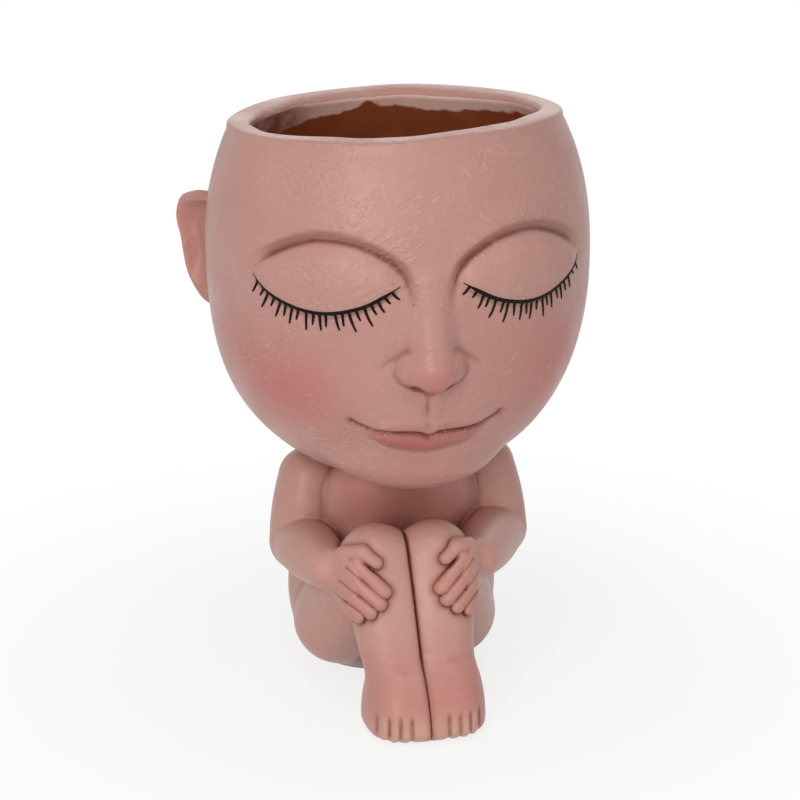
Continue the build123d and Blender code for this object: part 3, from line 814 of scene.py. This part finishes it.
# %% The torso's distance, from rows of height, half width, reach in front and reach behind
TORSO = np.array([
    (0, 21.4, 5.0, 28.8), (4, 26.0, 10.5, 33.5), (13.5, 29.8, 15.2, 36.0), (25.6, 31.0, 15.2, 34.9),
    (39.8, 28.2, 14.1, 31.0), (52, 25.7, 14.4, 25.9), (60.8, 22.0, 15.2, 20.5), (67.5, 15.5, 15.5, 15.5),
])
OUTLET_RADIUS, OUTLET_DEPTH = 10.0, 3.6
BLEND_REACH = 3.0


def torso_distance(p):
    """Ellipses stacked by three curves of height: how far outside its own ellipse each point lies."""
    z = np.clip(p[..., 2], 0, NECK)
    wide, front, behind = [curve_through(TORSO[:, [0, column]], z) for column in (1, 2, 3)]
    y = (p[..., 1] - (behind - front) / 2) / ((behind + front) / 2)
    body = (np.hypot(p[..., 0] / wide, y) - 1) * np.minimum(wide, (behind + front) / 2) * 0.93
    return np.maximum(np.maximum(body, -p[..., 2]), p[..., 2] - NECK)


def figure_torso(p):
    """The torso with its blends up the limbs, bored for the drain and hollowed for the stopper."""
    torso = torso_distance(p)
    joined = torso
    for side in (-1, 1):
        joined = smooth_union(joined, leg_distance(p, side) + 0.3, 3.0)
        joined = smooth_union(joined, arm_distance(p, side) + 0.3, 2.0)
    joined = np.maximum(np.maximum(joined, torso - BLEND_REACH), np.maximum(-p[..., 2], p[..., 2] - NECK))
    axis = np.hypot(p[..., 0], p[..., 1])
    bored = np.maximum(joined, TUBE_RADIUS + BORE_GAP - axis)
    return np.maximum(bored, -np.maximum(axis - OUTLET_RADIUS, p[..., 2] - OUTLET_DEPTH))


# %% Skin the figure
def figure_piece(name, field, node, step, low, high):
    """Skin one field inside a box and let it stand for its solid."""
    points, quads = skin_of(field, low, high, step)
    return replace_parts(make_piece(name, points, [quads], sharp_degrees=50), node)


torso = figure_piece("body", figure_torso, "torso", 0.8, (-38, -24, -1.5), (38, 40, NECK + 1.5))
legs, arms = [], []
for side, word in ((1, "left"), (-1, "right")):
    x = sorted((side * 34.0, side * -8.0))
    legs.append(figure_piece(
        f"leg_{word}", lambda p: leg_distance(p, side), f"{word}_leg", 0.5, (x[0], -68, -1), (x[1], 14, 62),
    ))
    x = sorted((side * 42.0, side * -16.0))
    arms.append(figure_piece(
        f"arm_{word}", lambda p: arm_distance(p, side), f"{word}_arm", 0.45, (x[0], -56, 28), (x[1], 18, 71),
    ))

# %% [markdown]
# ## Where the paint goes
# The painter sprays rosy blushes on the cheeks, nose, hands and feet, and wipes a brown wash off the
# high places so that it stays in the creases. The blushes are humps at chosen places. The wash is
# found from the shape: on the head it is where a point lies below the mean of its neighbours, and on
# the figure where two forms meet, or where a short walk straight out of the skin nears another form.
# Part of this brown is painted shade: in the hollows and where forms close in, below the brow's ledge,
# under the nose where the skin faces down, in the nostrils, where the ear meets the head, on the chest
# under the chin and on the left hip.

# %% Masks of the head
CHEEK_BLUSH, NOSE_BLUSH = (0.92, 52.0, 22.0, 104.0, 14.5), (0.6, 0, 8.0, 112.0, 8.0)
# The spot under the nose marks where painted shade goes below the nose.
CHIN_BLUSH, UNDER_NOSE = (0.25, 0, 20.0, 80.0, 8.0), (0.6, 0, 12.0, 107.0, 5.0)
MOUTH_CORNERS = (0.35, 26.0, 2.2, 95.4, 2.0)
FACE_ASIDE, FACE_LOW, FACE_HIGH = 70, 78, 155


def below_neighbours(grid, normals, reach):
    """How far each grid point lies below the mean of four points some cells away, per cell."""
    around = [np.roll(grid, shift, axis) for axis in (0, 1) for shift in (-reach, reach)]
    return np.einsum("...i,...i->...", np.mean(around, 0) - grid, normals) / reach


def paint_head():
    """Blush, brown in the creases with painted shade, lip colour and bare inside, for every point of the
    head.
    """
    aside, z = np.broadcast_to(np.abs((columns + 180) % 360 - 180), head_level.shape), head_level
    normals = points_and_normals(head)[1].reshape(head_points.shape)
    outside = head_depth == OUTSIDE
    blush = sum(spot(aside, z, *place) for place in (CHEEK_BLUSH, NOSE_BLUSH, CHIN_BLUSH))
    under_brow = -across_curve(BROW_EDGE, aside, z)
    # Below the brow's ledge, which faces down, the brown is partly wash and partly painted shade.
    brow_wash_and_shade = smoothstep(-0.8, 0.6, under_brow) * (1 - smoothstep(2.6, 4.6, under_brow))
    brow_wash_and_shade = brow_wash_and_shade * smoothstep(3.0, 8.0, aside) * (1 - smoothstep(48.0, 60.0, aside))
    line, upper, lower = mouth_curves(aside)
    mouth = hump(z, line, 0.75) * (1 - smoothstep(24.0, 28.0, aside))
    front = outside & (aside < FACE_ASIDE) & (z > FACE_LOW) & (z < FACE_HIGH)
    # Where the skin lies below its neighbours the brown is partly wash and partly painted shade.
    creases = smoothstep(0.025, 0.12, below_neighbours(head_points, normals, 3)) * front
    # Painted shade under the nose, where the skin faces down.
    nose_shadow = smoothstep(-0.3, -0.8, normals[..., 2]) * spot(aside, z, *UNDER_NOSE)
    corners = spot(aside, z, *MOUTH_CORNERS)
    # Painted shade in the nostrils.
    nostrils = smoothstep(1.2, 0.2, ball(mirrored(head_points), *NOSTRIL)) * front
    wash_and_shade = 0.52 * brow_wash_and_shade + 0.75 * mouth + 0.55 * creases + nose_shadow + corners + 0.9 * nostrils
    lip = smoothstep(0.5, -0.5, z - upper) * smoothstep(-1.2, 1.8, z - lower)
    lip = lip * (1 - smoothstep(15.0, 25.0, aside)) * (1 - 0.45 * smoothstep(-0.3, 0.3, z - line))
    paint_mask(head, "blush", blush * outside)
    paint_mask(head, "wash_and_shade", np.clip(wash_and_shade, 0, 1) * outside)
    paint_mask(head, "lip", lip * outside)
    paint_mask(head, "inside", head_depth)
    print("head points with wash:", int((wash_and_shade > 0.3).sum()))


paint_head()

# %% Masks of the figure
def figure_distances(p):
    """Distances to the torso, legs and arms, nearest first."""
    limbs = [f(p, side) for f in (leg_distance, arm_distance) for side in (-1, 1)]
    return np.sort([torso_distance(p), *limbs], axis=0)


def nearest_distance(p):
    """Distance to the nearest form of the figure or to the head."""
    return np.minimum(figure_distances(p)[0], egg_distance(p))


def paint_figure(piece, blush, added_wash_and_shade):
    """Store a blush, and brown where forms meet or close in on a point, with more brown added. Wash and
    painted shade both go into it.
    """
    points, normals = points_and_normals(piece)
    # Painted shade, as well as wash, where a short walk out of the skin nears another form.
    closed = [1 - nearest_distance(points + normals * reach) / reach for reach in (1.6, 5.0)]
    crease = 0.6 * smoothstep(0.25, 0.95, closed[0]) + 0.2 * smoothstep(0.3, 0.95, closed[1])
    crease = crease + 0.55 * hump(figure_distances(points)[1], 0, 1.15)
    paint_mask(piece, "blush", np.clip(blush, 0, 1))
    paint_mask(piece, "wash_and_shade", np.clip(crease + added_wash_and_shade, 0, 1))
    paint_mask(piece, "inside", np.full(len(points), OUTSIDE))
    print(f"{piece.name}: mean wash {crease.mean():.2f}")


# %% Blushes, stains and painted shade of the figure
EAR_BLUSH, TOE_PALENESS = 0.22, 0.3
HAND_MIDDLE = (3, -12, -6)


def chest_blush_and_shade(p):
    """Red on the chest up to the chin, partly blush and partly painted shade under the head."""
    return 0.45 * smoothstep(-2, -10, p[:, 1]) * smoothstep(22, 36, p[:, 2])


def torso_wash_and_shade(p):
    """Brown on the chest under the chin, partly painted shade, and painted shade on the left hip."""
    # Painted shade on the left hip.
    hip = smoothstep(10, 30, p[:, 0]) * smoothstep(46, 30, p[:, 2])
    return 0.12 * chest_blush_and_shade(p) + 0.18 * hip


def pale_toes(p):
    """1 at the tips of the toes, fading out over the foot."""
    return smoothstep(-50, -60, p[:, 1]) * smoothstep(TOE_HEIGHT + 4, TOE_HEIGHT - 6, p[:, 2])


def foot_blush(p):
    """Rosy feet with paler toes."""
    feet = smoothstep(36, 12, p[:, 2]) * smoothstep(-30, -46, p[:, 1])
    return feet * (0.46 - 0.36 * pale_toes(p))


def foot_stain(p, side):
    """Wash in the lines between the toes and in the ankle's crease."""
    toes = hump(toe_line(side * (p[:, 0] - TOES_LEAN)), 0, 0.42) * toe_share(p)
    return 0.6 * toes + 0.2 * ankle_crease(p, side)


def hand_blush(p, side):
    """Rosy round the middle of the hand."""
    return 0.42 * hump(length(p - knee_at(side) - on_side(HAND_MIDDLE, side)), 0, 13.0)


def finger_stain(p, side):
    """Wash in the lines between the fingers, where the two nearest fingers are equally near."""
    place, out = hand_place(p, side)
    near = np.sort([limb(place, start, end, radius, radius) for start, end, radius in FINGERS], axis=0)
    return 0.8 * hump(near[1] - near[0], 0, 0.5) * (near[0] < 0.8) * (out > 4)


def ear_wash_and_shade(p):
    """Wash and painted shade in the hollow, where the ear meets the head."""
    return 0.25 * hump(egg_distance(p), 0, 6.0)


# %% Paint the figure
p = points_and_normals(torso)[0]
paint_figure(torso, chest_blush_and_shade(p), torso_wash_and_shade(p))
for side, leg, arm, ear in zip((1, -1), legs, arms, ears):
    p = points_and_normals(leg)[0]
    paint_figure(leg, foot_blush(p), foot_stain(p, side))
    paint_mask(leg, "pale", TOE_PALENESS * pale_toes(p))
    p = points_and_normals(arm)[0]
    paint_figure(arm, hand_blush(p, side), finger_stain(p, side))
    p = points_and_normals(ear)[0]
    paint_figure(ear, np.full(len(p), EAR_BLUSH), ear_wash_and_shade(p))

# %% [markdown]
# ## Materials
# All painted pieces share one material, as they share one paint. It reads the masks from the points
# and the place of each point in the object, so the mottling runs on across the seams. Blender's noise
# gives the uneven spray, stretched noise gives the brush marks, and cells give a few pinholes. Some of
# the colour is painted light and shade: a paler pink on the shaded band inside the rim, paler brush
# marks as highlights, darker pinholes, and part of the brown in hollows and under things.

# %% Helpers for shader nodes
def srgb(red, green, blue):
    """A colour as a paint chart gives it, 0 to 255, made linear: ((c + 0.055) / 1.055) ^ 2.4."""
    c = np.array([red, green, blue]) / 255
    return (*np.where(c > 0.04045, ((c + 0.055) / 1.055) ** 2.4, c / 12.92).tolist(), 1.0)


class Shader:
    """The node tree of a material or of the world, with short ways to add nodes."""

    def __init__(self, tree):
        self.tree = tree
        self.skin = tree.nodes.get("Principled BSDF")

    def add(self, kind, inputs, output=0, **settings):
        """Add a node, set its properties, set or link its inputs, and return one of its outputs."""
        made = self.tree.nodes.new("ShaderNode" + kind)
        for name, value in settings.items():
            setattr(made, name, value)
        self.feed(made, inputs)
        return made.outputs[output]

    def feed(self, node, inputs):
        """Link each named input of a node to an output, or set it to a constant."""
        for key, value in inputs.items():
            if isinstance(value, bpy.types.NodeSocket):
                self.tree.links.new(value, node.inputs[key])
            else:
                node.inputs[key].default_value = value

    def place(self):
        """Place in the object, in metres."""
        return self.add("TexCoord", {}, "Object")

    def mask(self, name):
        """A number stored on the points."""
        return self.add("Attribute", {}, "Fac", attribute_name=name)

    def noise(self, vector, scale, detail=3.0):
        """Cloudy noise from 0 to 1."""
        return self.add("TexNoise", {"Vector": vector, "Scale": scale, "Detail": detail}, "Fac")

    def math(self, operation, a, b):
        """One sum on two numbers."""
        return self.add("Math", {0: a, 1: b}, operation=operation)

    def times(self, a, b):
        """Two numbers multiplied."""
        return self.math("MULTIPLY", a, b)

    def largest(self, a, b, c):
        """The largest of three numbers."""
        return self.math("MAXIMUM", self.math("MAXIMUM", a, b), c)

    def between(self, value, low, high, to_low=0.0, to_high=1.0):
        """Map a range of numbers smoothly to another."""
        ends = {"Value": value, "From Min": low, "From Max": high, "To Min": to_low, "To Max": to_high}
        return self.add("MapRange", ends, interpolation_type="SMOOTHSTEP")

    def mix(self, share, a, b):
        """Mix two colours by a share."""
        return self.add("MixRGB", {0: share, 1: a, 2: b})


def new_shader(name):
    """A new material and its shader helper."""
    material = bpy.data.materials.new(name)
    material.use_nodes = True
    return material, Shader(material.node_tree)


# %% The paint's colours
SPRAY_LIGHT, SPRAY_DARK, SPRAY_GRAIN = srgb(198, 149, 138), srgb(183, 134, 123), srgb(212, 166, 153)
# The figure's pink is partly painted light for the body under the head, and the inside pink is painted light
# on the shaded band inside the rim.
FIGURE_PINK_AND_LIGHT, TOE_PINK, INSIDE_PAINTED_LIGHT = srgb(224, 172, 152), srgb(236, 190, 166), srgb(248, 206, 192)
# The brown is wash in the creases and painted shade in hollows and under things.
BLUSH, LIP, WASH_AND_SHADE = srgb(195, 112, 107), srgb(178, 98, 92), srgb(118, 58, 40)
# The marks' pale pink is a painted highlight, and the pinholes' brown is painted shade.
MARK_HIGHLIGHT, PINHOLE_SHADE = srgb(226, 184, 172), srgb(70, 40, 30)
RAW_DARK, RAW_LIGHT = srgb(138, 66, 38), srgb(168, 90, 54)
FIGURE_TOP, HEAD_BOTTOM, MARKS_FROM = 0.066, 0.076, 0.08
MARK_TURNS = ((0.3, 0.5, 0.4), (0.2, -0.6, 1.3), (1.1, 0.2, -0.7))
MARK_STRETCH = (150.0, 1000.0, 1000.0)


# %% The paint
def sprayed(shader, patches, grain, height):
    """Mottled pink, paler on the figure partly as painted light, then the blushes, the lips and the toes.
    Wash and painted shade go over it in brown.
    """
    colour = shader.mix(patches, SPRAY_LIGHT, SPRAY_DARK)
    # Paler on the figure: partly its own paint, partly painted light for the body under the head.
    colour = shader.mix(shader.between(height, FIGURE_TOP, HEAD_BOTTOM, 0.2, 0.0), colour, FIGURE_PINK_AND_LIGHT)
    colour = shader.mix(shader.between(grain, 0.45, 0.8, 0.0, 0.22), colour, SPRAY_GRAIN)
    blush = shader.times(shader.mask("blush"), shader.between(patches, 0.2, 0.8, 0.75, 1.0))
    colour = shader.mix(blush, colour, BLUSH)
    colour = shader.mix(shader.times(shader.mask("lip"), 0.8), colour, LIP)
    colour = shader.mix(shader.mask("pale"), colour, TOE_PINK)
    # The brown goes on last: wash in the creases, and painted shade in hollows and under things.
    wash_and_shade = shader.times(shader.mask("wash_and_shade"), shader.between(grain, 0.25, 0.7, 0.88, 1.0))
    return shader.mix(wash_and_shade, colour, WASH_AND_SHADE)


def brush_marks(shader, place, turn):
    """Short ridges left by a brush: noise stretched along one direction, kept only in some patches."""
    turned = shader.add("Mapping", {"Vector": place, "Rotation": turn})
    bent = shader.add("VectorMath", {0: turned, 1: MARK_STRETCH}, operation="MULTIPLY")
    streak = shader.between(shader.noise(bent, 1.0, 0.0), 0.52, 0.75)
    return shader.times(streak, shader.between(shader.noise(turned, 60.0, 1.0), 0.54, 0.66))


def marks_of_brush(shader, place, height):
    """Brush marks in three directions, fewer on the figure and none inside."""
    marks = shader.largest(*[brush_marks(shader, place, turn) for turn in MARK_TURNS])
    marks = shader.times(marks, shader.between(height, FIGURE_TOP, MARKS_FROM, 0.15, 1.0))
    return shader.times(marks, shader.between(shader.mask("inside"), -10.0, -18.0))


def pinholes_of(shader, place):
    """1 at the middles of a few cells: small bubbles of the casting."""
    cells = shader.add("TexVoronoi", {"Vector": place, "Scale": 75.0}, "Distance")
    pick = shader.noise(place, 40.0, 0.0)
    return shader.times(shader.between(cells, 0.045, 0.02), shader.between(pick, 0.56, 0.6))


def bared(shader, place, colour):
    """Painted light on the pink band inside the rim, smudged on the right, and raw resin past its ragged edge
    inside.
    """
    inside = shader.mask("inside")
    drift = shader.times(shader.math("SUBTRACT", shader.noise(place, 160.0, 4.0), 0.5), 5.0)
    # Painted light: a paler pink on the band inside the rim, which lies in the pot's shade.
    colour = shader.mix(shader.between(inside, -19.0, -14.0, 0.0, 0.95), colour, INSIDE_PAINTED_LIGHT)
    raw = shader.mix(shader.noise(place, 120.0, 6.0), RAW_DARK, RAW_LIGHT)
    smudge = shader.between(inside, -17.0, -8.0, 0.0, 0.85)
    smudge = shader.times(smudge, shader.between(shader.noise(place, 130.0, 5.0), 0.25, 0.55))
    right_side = shader.add("SeparateXYZ", {"Vector": place}, "X")
    smudge = shader.times(smudge, shader.between(right_side, -0.012, -0.03))
    bare = shader.between(shader.math("ADD", inside, drift), -0.5, 0.5)
    return shader.mix(bare, shader.mix(smudge, colour, raw), raw)


def painted_resin():
    """The sprayed pink with brush marks and pinholes in colour and bump, the marks paler as a painted
    highlight and the pinholes darker as painted shade, and raw resin inside.
    """
    material, shader = new_shader("painted_resin")
    place = shader.place()
    height = shader.add("SeparateXYZ", {"Vector": place}, "Z")
    patches, grain = shader.noise(place, 55.0), shader.noise(place, 900.0)
    marks, pinholes = marks_of_brush(shader, place, height), pinholes_of(shader, place)
    colour = sprayed(shader, patches, grain, height)
    # Painted highlight: the brush marks are made paler, as their ridges would catch light.
    colour = shader.mix(shader.times(marks, 0.16), colour, MARK_HIGHLIGHT)
    # Painted shade: the pinholes are darkened in colour.
    colour = bared(shader, place, shader.mix(pinholes, colour, PINHOLE_SHADE))
    lumps = shader.times(shader.noise(place, 260.0, 2.0), 2.0)
    lumps = shader.math("ADD", shader.times(marks, 2.0), lumps)
    relief = shader.math("ADD", shader.math("SUBTRACT", lumps, shader.times(pinholes, 2.0)), grain)
    bump = shader.add("Bump", {"Height": relief, "Strength": 0.4, "Distance": 0.0003})
    rough = shader.between(patches, 0.2, 0.8, 0.32, 0.44)
    shader.feed(shader.skin, {"Base Color": colour, "Roughness": rough, "Normal": bump})
    shader.skin.inputs["Specular IOR Level"].default_value = 0.32
    return material


# %% Ink, plastic and rubber
def lash_ink():
    """Black paint, a little brown where it is thin."""
    material, shader = new_shader("lash_ink")
    thin = shader.noise(shader.place(), 700.0)
    colour = shader.mix(thin, srgb(14, 10, 9), srgb(34, 25, 22))
    shader.feed(shader.skin, {"Base Color": colour, "Roughness": shader.between(thin, 0.2, 0.8, 0.5, 0.65)})
    shader.skin.inputs["Specular IOR Level"].default_value = 0.1
    return material


def plain_moulding(name, dark, light, rough):
    """A moulded plastic or rubber with faint clouds and a fine grain."""
    material, shader = new_shader(name)
    place = shader.place()
    grain = shader.noise(place, 1500.0)
    colour = shader.mix(shader.noise(place, 180.0), dark, light)
    rough = shader.between(grain, 0.2, 0.8, rough - 0.08, rough + 0.08)
    bump = shader.add("Bump", {"Height": grain, "Strength": 0.3, "Distance": 0.0001})
    shader.feed(shader.skin, {"Base Color": colour, "Roughness": rough, "Normal": bump})
    return material


paint, ink = painted_resin(), lash_ink()
for piece in [head, torso, *ears, *legs, *arms]:
    piece.data.materials.append(paint)
for piece in lashes:
    piece.data.materials.append(ink)
mouldings = {
    "drain_tube": plain_moulding("tube_plastic", srgb(86, 70, 60), srgb(104, 86, 74), 0.45),
    "drain_plug": plain_moulding("stopper_rubber", srgb(92, 88, 84), srgb(110, 106, 100), 0.7),
}
for node, material in mouldings.items():
    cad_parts[node].data.materials.clear()
    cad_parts[node].data.materials.append(material)
print("materials:", [m.name for m in bpy.data.materials])

# %% [markdown]
# ## Studio
# The photograph is lit softly from the left, with the right side a little darker, on white. A strong
# lamp on the left, weaker ones on the right, overhead and behind, and an even grey world do that. The
# floor is matt and pale near the planter, so it takes the shadow, and it fades to plain white further
# out.

# %% Lamps, as name, place, size and power
LAMPS = [
    ("key", (-0.8, -1.35, 0.68), 0.7, 9.9), ("fill", (1.0, -1.2, 0.4), 1.0, 2.0),
    ("top", (-0.2, -0.7, 1.6), 0.8, 6.6), ("back", (0.5, 1.5, 0.6), 1.0, 3.2),
]
LAMP_AIM = Vector((0, 0, 0.1))


def softbox(name, place, size, watts):
    """A square lamp that faces the middle of the planter."""
    data = bpy.data.lights.new(name, "AREA")
    data.energy, data.size = watts, size
    lamp = bpy.data.objects.new(name, data)
    lamp.location = place
    lamp.rotation_euler = (LAMP_AIM - lamp.location).to_track_quat("-Z", "Y").to_euler()
    bpy.context.scene.collection.objects.link(lamp)
    print(f"{name}: {watts} W at {place}")


for lamp in LAMPS:
    softbox(*lamp)

# %% Floor and world
AMBIENT = 0.33
FLOOR_HALF, WHITE_FROM, WHITE_TO, WHITE_NEAR = 6, 0.05, 0.2, 0.8


def seen(shader):
    """1 for rays from the camera and for mirror and glass rays."""
    kinds = ("Camera", "Glossy", "Transmission")
    return shader.largest(*[shader.add("LightPath", {}, f"Is {kind} Ray") for kind in kinds])


def pale_floor():
    """Matt white that turns to plain white, for what the camera sees, away from the planter."""
    material, shader = new_shader("floor")
    place = shader.place()
    cloud = shader.noise(place, 6.0)
    shader.feed(shader.skin, {"Base Color": shader.mix(cloud, srgb(240, 240, 240), srgb(248, 248, 247))})
    shader.skin.inputs["Roughness"].default_value = 0.9
    white = shader.add("Emission", {"Color": (1, 1, 1, 1), "Strength": 1.0})
    out = shader.add("VectorMath", {0: place}, "Value", operation="LENGTH")
    share = shader.times(shader.between(out, WHITE_FROM, WHITE_TO, WHITE_NEAR, 1.0), seen(shader))
    blend = shader.add("MixShader", {0: share, 1: shader.skin.outputs[0], 2: white})
    shader.feed(shader.tree.nodes["Material Output"], {"Surface": blend})
    return material


floor_mesh = bpy.data.meshes.new("floor")
corners = [(x * FLOOR_HALF, y * FLOOR_HALF, 0) for x, y in ((-1, -1), (1, -1), (1, 1), (-1, 1))]
floor_mesh.from_pydata(corners, [], [(0, 1, 2, 3)])
floor_mesh.materials.append(pale_floor())
floor = bpy.data.objects.new("floor", floor_mesh)
bpy.context.scene.collection.objects.link(floor)
world = bpy.data.worlds.new("studio")
world.use_nodes = True
bpy.context.scene.world = world
air = Shader(world.node_tree)
sky = world.node_tree.nodes["Background"]
sky.inputs["Color"].default_value = (1.0, 1.0, 1.0, 1.0)
air.feed(sky, {"Strength": air.between(seen(air), 0.0, 1.0, AMBIENT, 1.0)})
print("floor", round(floor.dimensions.x, 1), "m wide")

# %% [markdown]
# ## Finish
# The picture's colours stay as written, so the view transform is the standard one.

# %% Finish
bpy.context.scene.view_settings.view_transform = "Standard"
